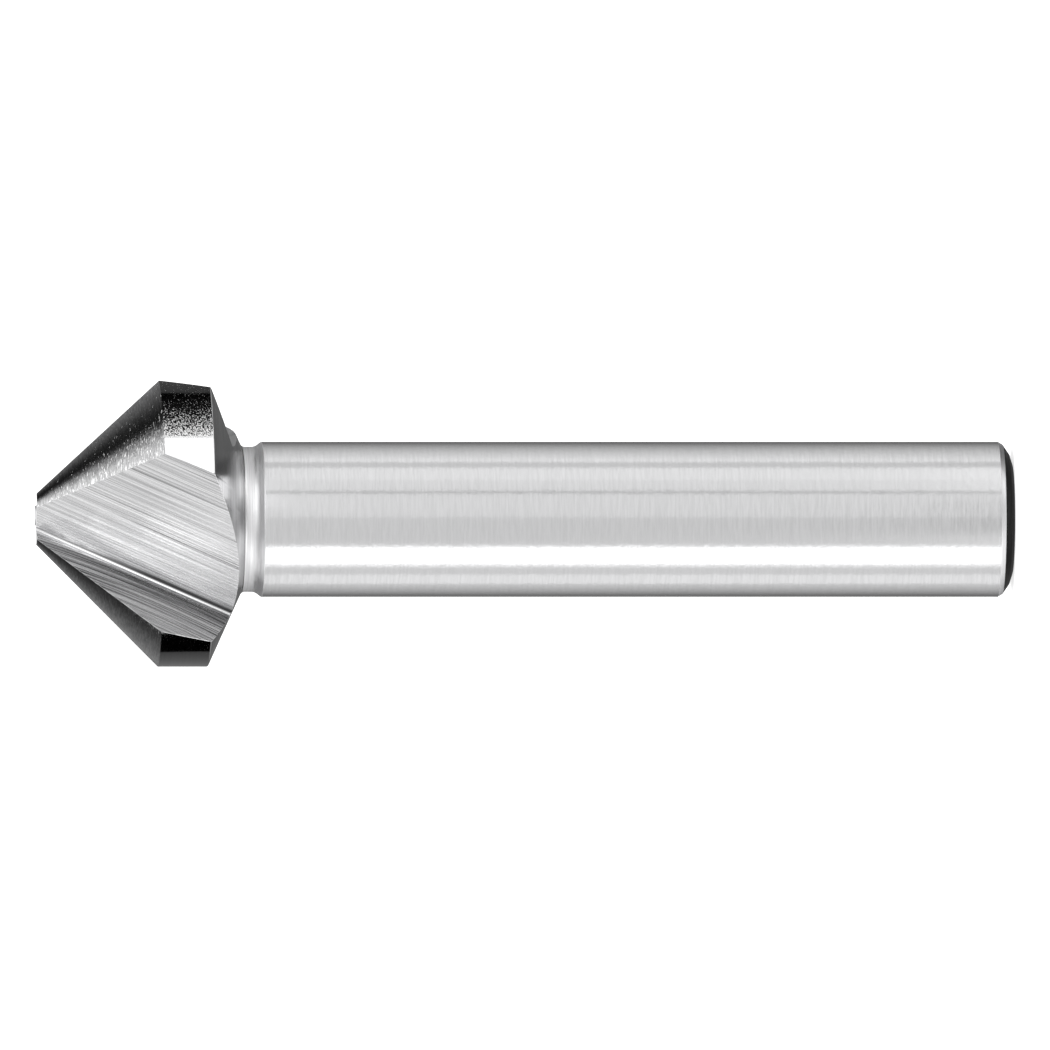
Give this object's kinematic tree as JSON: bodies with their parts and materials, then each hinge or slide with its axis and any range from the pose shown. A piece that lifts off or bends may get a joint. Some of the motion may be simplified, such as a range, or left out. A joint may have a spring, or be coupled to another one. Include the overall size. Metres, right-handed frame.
{
  "type": "countersink bit",
  "caption": "Conical countersink bit with straight V-ground flutes and a plain round shank, for countersinking and deburring drilled holes.",
  "frame": {"origin": "centre of the shank's flat end face, on which the tool stands", "axes": "+Z along the tool's axis towards the tip; the head is turned about Z so that seen along +Y the chip flute between the upper and the lower tooth of the picture faces the viewer"},
  "size_m": [0.0185, 0.0185, 0.063],
  "materials": {
    "ground_steel": "ground, satin on the shank and mirror-like on the relief faces"
  },
  "bodies": {
    "root": {"countersink_bit": "ground_steel"}
  },
  "joints": []
}
